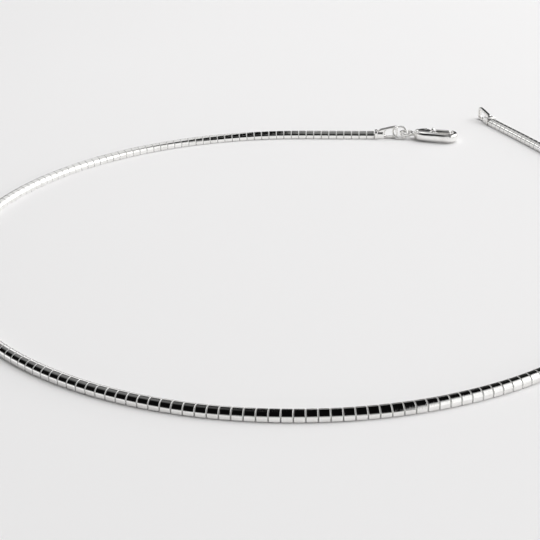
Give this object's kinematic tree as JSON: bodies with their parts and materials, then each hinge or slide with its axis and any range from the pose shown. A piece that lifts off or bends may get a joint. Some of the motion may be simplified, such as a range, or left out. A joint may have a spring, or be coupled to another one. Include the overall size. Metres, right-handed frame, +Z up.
{
  "type": "omega necklace",
  "caption": "Round omega necklace lying open: close-set domed metal plates strung on a flat woven band, flared end caps, a jump ring and a claw clasp with a sprung lever",
  "frame": {"origin": "On the surface that the necklace lies on, under the middle of its outline", "axes": "+Z up from the surface, +Y from the front of the chain to its two open ends, +X to the side of the open end cap, with the clasp on the same +Y side near the middle"},
  "size_m": [0.1398, 0.1512, 0.0034],
  "materials": {
    "plates": "polished silver",
    "band": "woven silver, satin",
    "caps": "polished silver",
    "ring": "polished silver wire",
    "clasp": "polished silver, cast"
  },
  "bodies": {
    "necklace": {"left_plates": "plates", "right_plates": "plates", "woven_band": "band", "clasp_end_cap": "caps", "open_end_cap": "caps", "jump_ring": "ring", "clasp_frame": "clasp", "clasp_pin": "clasp"},
    "lever": {"clasp_lever": "clasp"}
  },
  "joints": [
    {"name": "lever_hinge", "type": "hinge", "parent": "necklace", "child": "lever", "pos_m": [0.03369, 0.05979, 0.00125], "axis": [0, 0, -1], "range_deg": [0, 20], "stiffness_Nm_per_rad": 0.005}
  ]
}
